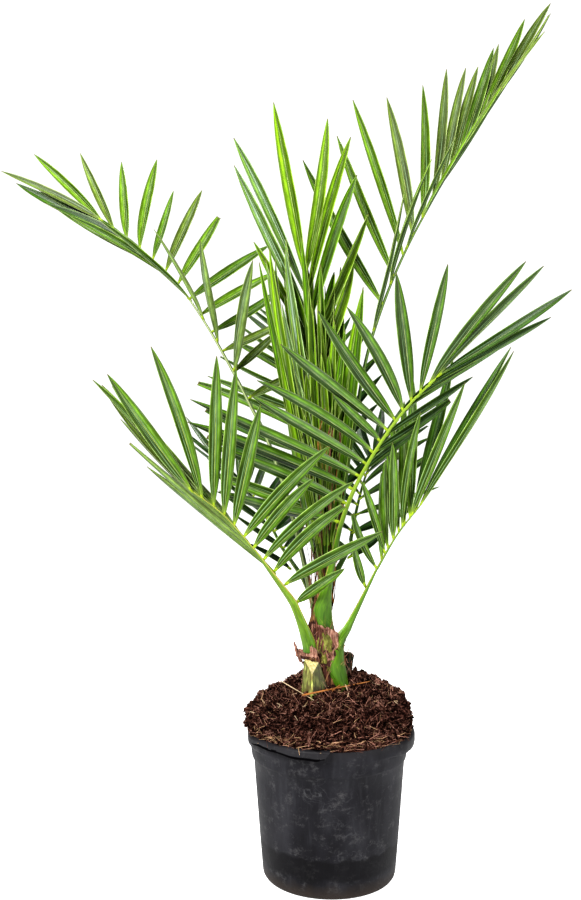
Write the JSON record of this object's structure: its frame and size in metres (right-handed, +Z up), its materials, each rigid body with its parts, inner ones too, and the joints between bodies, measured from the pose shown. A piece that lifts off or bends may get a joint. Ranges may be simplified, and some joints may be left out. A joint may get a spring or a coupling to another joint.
{
  "type": "potted canary island date palm",
  "caption": "Young feather-leaved date palm with a short fibrous stem, arching fronds and unopened spears, rooted in heaped soil in a round tapered nursery pot.",
  "frame": {"origin": "centre of the flat underside of the pot", "axes": "+Z up along the pot's axis; -Y is the front, where the cut leaf stub and the folded flap of the rim are; +X to the right seen from the front"},
  "size_m": [0.7072, 0.5071, 1.053],
  "materials": {
    "pot_plastic": "thin moulded charcoal plastic, satin, dusty and lightly scuffed",
    "potting_soil": "moist fibrous peat with bark crumbs, root threads and straw",
    "leaf_base": "green and brown old leaf bases, dull",
    "sheath_fibre": "torn brown net of dry fibres",
    "frond_rib": "smooth yellow-green rib with a soft sheen",
    "leaflets": "leathery mid-green leaflets with fine parallel veins and a waxy sheen, paler below",
    "young_leaf": "fresh lime-green folded leaflets, satin"
  },
  "bodies": {
    "root": {"back_high_blade_back": "leaflets", "back_high_blade_front": "leaflets", "back_high_rib": "frond_rib", "back_left_blade_back": "leaflets", "back_left_blade_front": "leaflets", "back_left_rib": "frond_rib", "back_low_blade_back": "leaflets", "back_low_blade_front": "leaflets", "back_low_rib": "frond_rib", "cut_stub": "leaf_base", "fibre_sheath": "sheath_fibre", "front_right_blade_back": "leaflets", "front_right_blade_front": "leaflets", "front_right_rib": "frond_rib", "lower_left_blade_back": "leaflets", "lower_left_blade_front": "leaflets", "lower_left_rib": "frond_rib", "lower_right_blade_back": "leaflets", "lower_right_blade_front": "leaflets", "lower_right_rib": "frond_rib", "pot": "pot_plastic", "rim_flap": "pot_plastic", "root_ball": "potting_soil", "spear_blade_back": "young_leaf", "spear_blade_front": "young_leaf", "spear_rib": "young_leaf", "stem_base": "leaf_base", "upper_left_blade_back": "leaflets", "upper_left_blade_front": "leaflets", "upper_left_rib": "frond_rib", "upper_right_blade_back": "leaflets", "upper_right_blade_front": "leaflets", "upper_right_rib": "frond_rib"}
  },
  "joints": []
}
